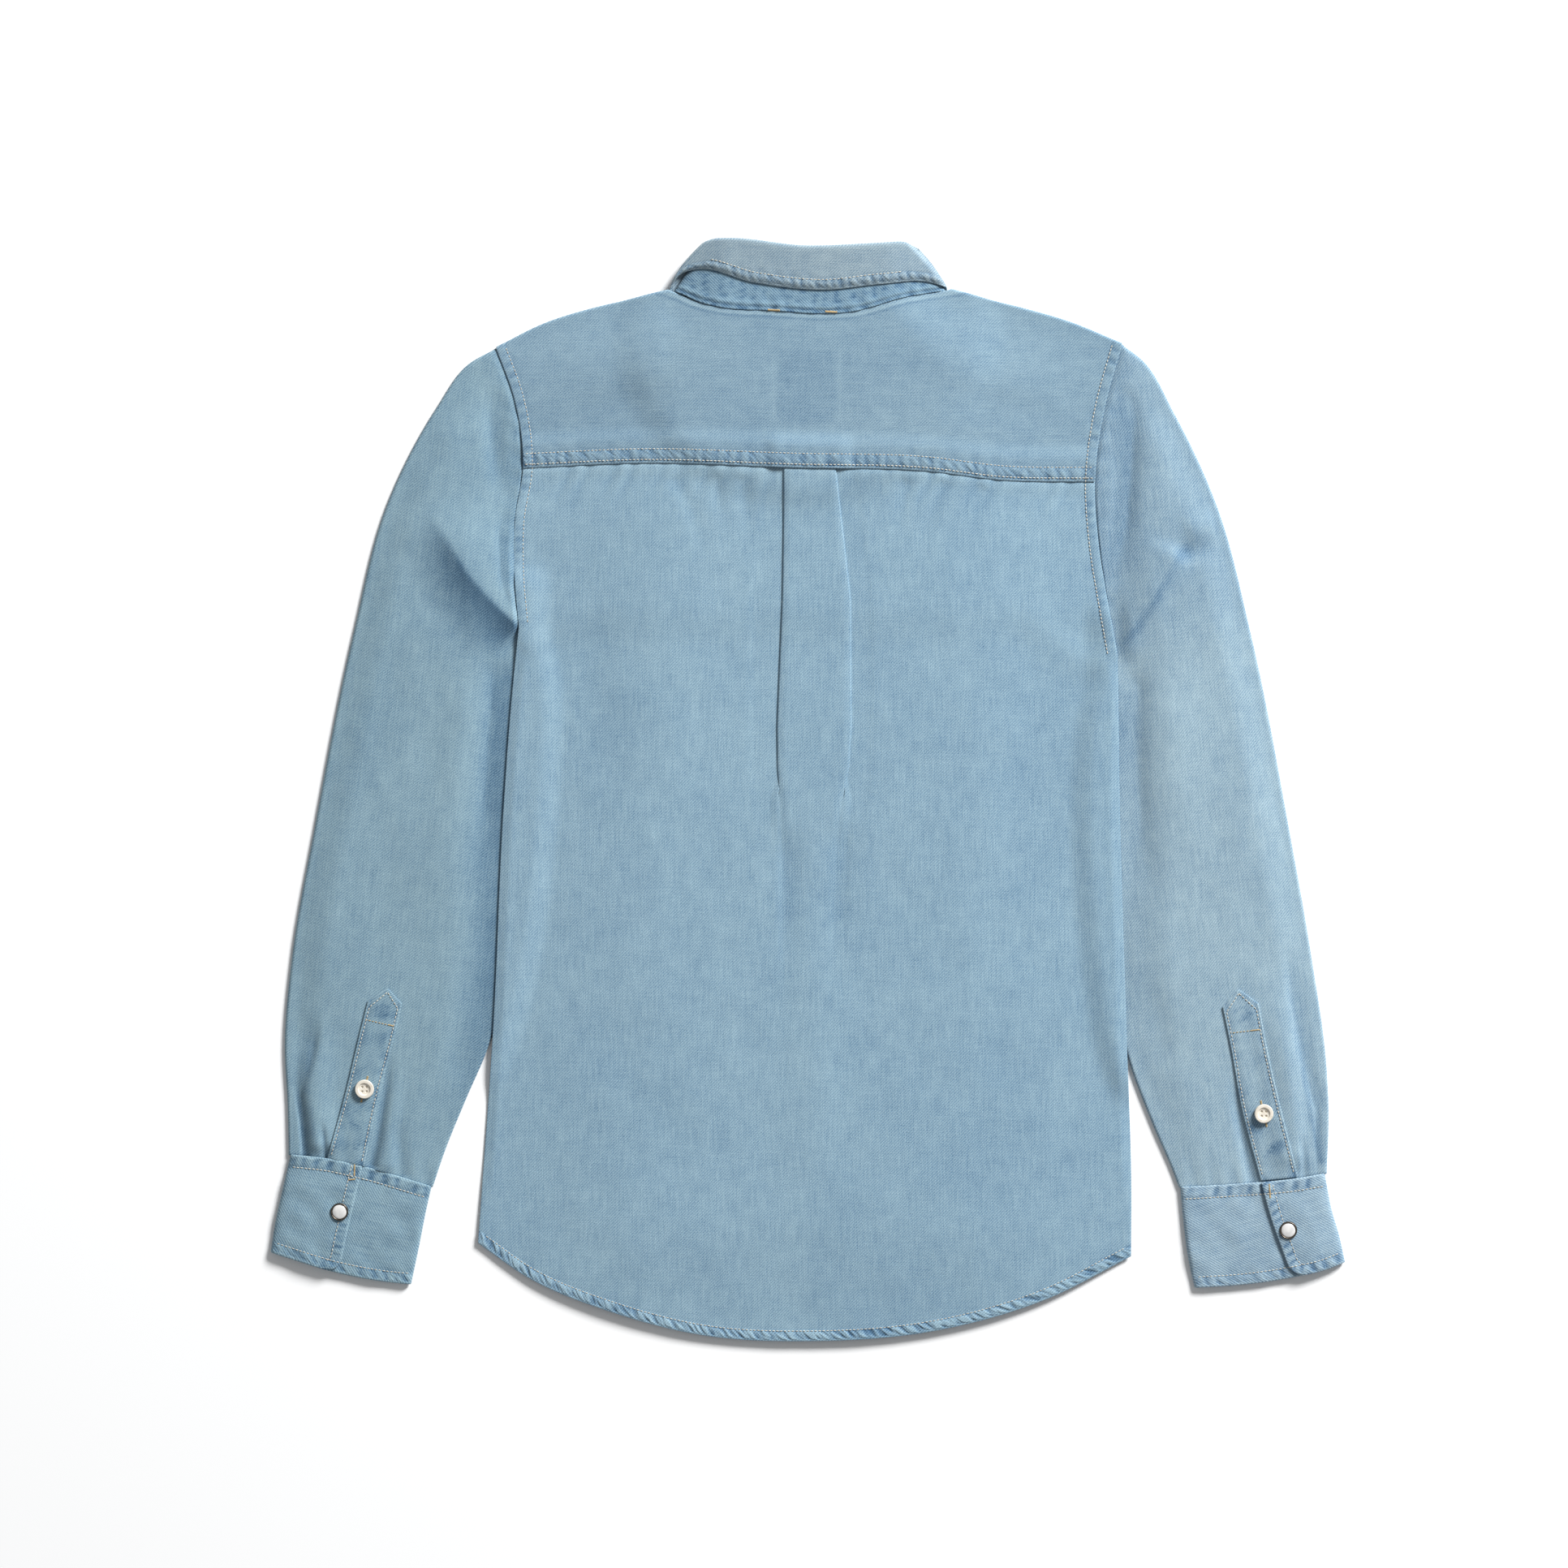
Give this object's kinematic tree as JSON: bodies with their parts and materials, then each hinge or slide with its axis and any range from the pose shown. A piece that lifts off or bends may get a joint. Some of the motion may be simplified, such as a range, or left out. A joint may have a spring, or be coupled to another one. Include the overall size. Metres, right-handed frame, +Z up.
{
  "type": "denim shirt",
  "caption": "Long-sleeved denim shirt with a collar, back yoke and box pleat, tower plackets and snap cuffs, laid flat back side up.",
  "frame": {"origin": "on the surface that the shirt lies on, under the middle of its outline", "axes": "+Y towards the collar, +X towards the wearer's right sleeve, +Z up out of the back, which is the upper side"},
  "size_m": [0.7306, 0.7463, 0.016],
  "materials": {
    "denim": "light-washed cotton twill",
    "denim_seams": "light-washed cotton twill in two plies, worn along the edges",
    "button": "cream, satin",
    "pearl": "grey-white pearl",
    "snap_metal": "dark antique"
  },
  "bodies": {
    "root": {"back": "denim", "collar_leaf": "denim_seams", "collar_stand": "denim_seams", "cuff_left": "denim_seams", "cuff_right": "denim_seams", "cuff_snap_left_pearl": "pearl", "cuff_snap_left_rim": "snap_metal", "cuff_snap_right_pearl": "pearl", "cuff_snap_right_rim": "snap_metal", "front_left": "denim", "front_right": "denim", "front_snap_1_pearl": "pearl", "front_snap_1_rim": "snap_metal", "front_snap_2_pearl": "pearl", "front_snap_2_rim": "snap_metal", "front_snap_3_pearl": "pearl", "front_snap_3_rim": "snap_metal", "front_snap_4_pearl": "pearl", "front_snap_4_rim": "snap_metal", "front_snap_5_pearl": "pearl", "front_snap_5_rim": "snap_metal", "front_snap_6_pearl": "pearl", "front_snap_6_rim": "snap_metal", "placket_button_left": "button", "placket_button_right": "button", "sleeve_left": "denim", "sleeve_placket_left": "denim_seams", "sleeve_placket_right": "denim_seams", "sleeve_right": "denim", "stand_snap_pearl": "pearl", "stand_snap_rim": "snap_metal", "yoke": "denim"}
  },
  "joints": []
}
